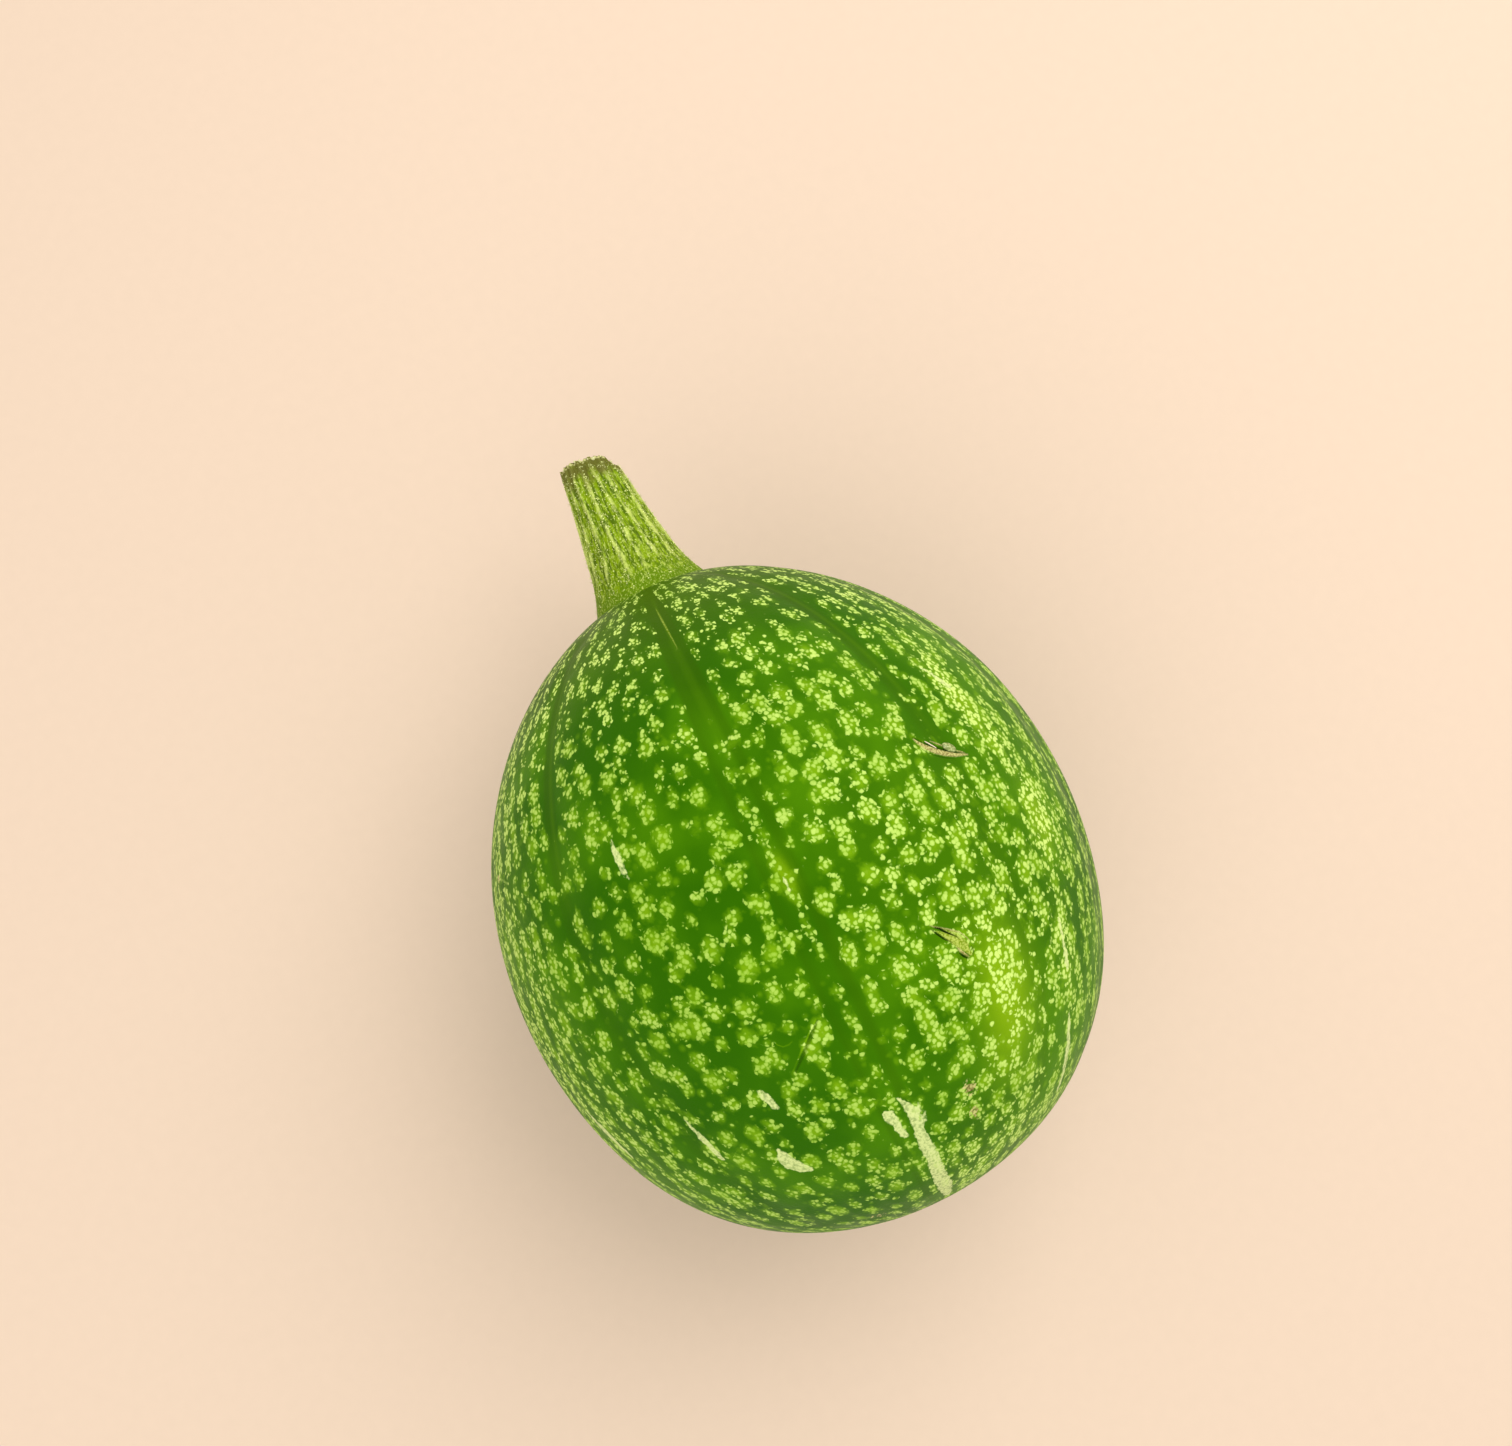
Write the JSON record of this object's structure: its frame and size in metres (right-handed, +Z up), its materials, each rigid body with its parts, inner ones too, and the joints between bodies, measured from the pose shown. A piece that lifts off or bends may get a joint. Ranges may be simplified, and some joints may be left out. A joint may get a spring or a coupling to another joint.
{
  "type": "fig-leaf gourd",
  "caption": "Young fig-leaf gourd as picked: a stout egg-shaped fruit with pale-speckled green rind and a ribbed cut stalk, lying on its side.",
  "frame": {"origin": "middle of the flat spot that the fruit rests on", "axes": "+Z up; +Y the way the stalk points, seen from above; +X to the right of the stalk, seen from above"},
  "size_m": [0.1499, 0.2099, 0.1487],
  "materials": {
    "rind": "waxy satin green rind with clusters of small pale green dots, plain dark bands along its furrows and a few cream streaks",
    "stalk": "matt yellow-green ribbed stalk with pale ridge lines, short bristly hairs and a dry tan cut end"
  },
  "bodies": {
    "root": {"fruit": "rind", "stalk": "stalk"}
  },
  "joints": []
}
